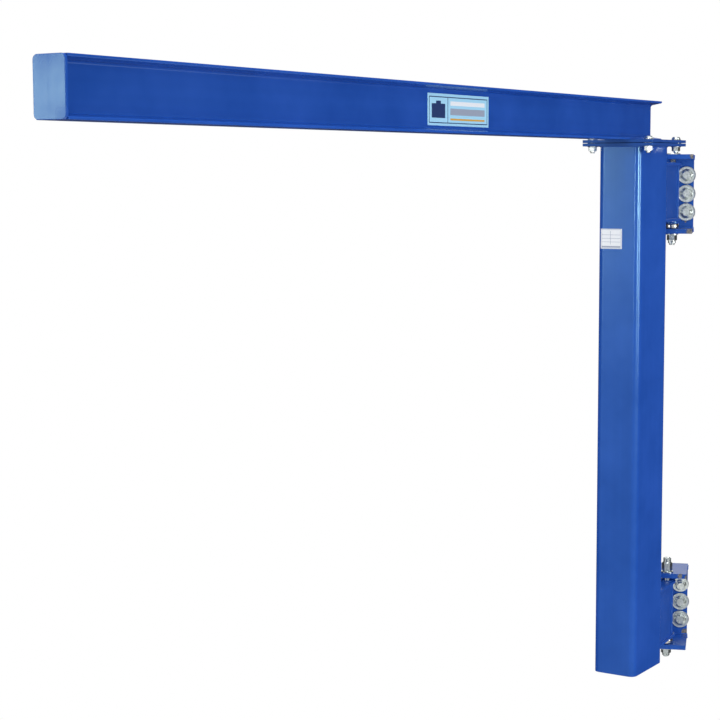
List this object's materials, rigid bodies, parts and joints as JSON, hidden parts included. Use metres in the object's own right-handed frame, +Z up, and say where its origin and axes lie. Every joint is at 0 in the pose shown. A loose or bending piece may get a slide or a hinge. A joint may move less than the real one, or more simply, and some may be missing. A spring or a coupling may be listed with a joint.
{
  "type": "wall-mounted jib crane",
  "caption": "Wall-bracket jib crane: I-beam boom bolted on a short rectangular mast that swings on two hinged wall brackets.",
  "frame": {"origin": "centre of the lower wall plate's back face", "axes": "+X out of the wall, +Z up, +Y along the wall; the boom rests swung 21 degrees from +X towards -Y"},
  "size_m": [2.412, 0.9612, 1.5231],
  "materials": {
    "blue_enamel": "gloss",
    "zinc": "satin"
  },
  "bodies": {
    "wall_brackets": {"upper_wall_plate": "blue_enamel", "lower_wall_plate": "blue_enamel", "upper_top_ear": "blue_enamel", "upper_bottom_ear": "blue_enamel", "lower_top_ear": "blue_enamel", "lower_bottom_ear": "blue_enamel", "upper_pivot_bolt": "zinc", "upper_pivot_washer": "zinc", "upper_pivot_nut": "zinc", "lower_pivot_bolt": "zinc", "lower_pivot_washers": "zinc", "lower_pivot_nuts": "zinc", "upper_thrust_ring": "zinc", "lower_thrust_ring": "zinc"},
    "jib": {"mast_tube": "blue_enamel", "mast_top_plate": "blue_enamel", "boom_base_plate": "blue_enamel", "boom_beam": "blue_enamel", "boom_end_plate": "blue_enamel", "upper_knuckle_near": "blue_enamel", "upper_knuckle_far": "blue_enamel", "lower_knuckle_near": "blue_enamel", "lower_knuckle_far": "blue_enamel", "upper_knuckle_top": "blue_enamel", "upper_knuckle_bottom": "blue_enamel", "lower_knuckle_top": "blue_enamel", "lower_knuckle_bottom": "blue_enamel", "upper_sleeve": "blue_enamel", "lower_sleeve": "blue_enamel"}
  },
  "joints": [
    {"name": "boom_swing", "type": "hinge", "parent": "wall_brackets", "child": "jib", "pos_m": [0.1187, 0, 0], "axis": [0, 0, 1], "range_deg": [-69, 111]}
  ]
}
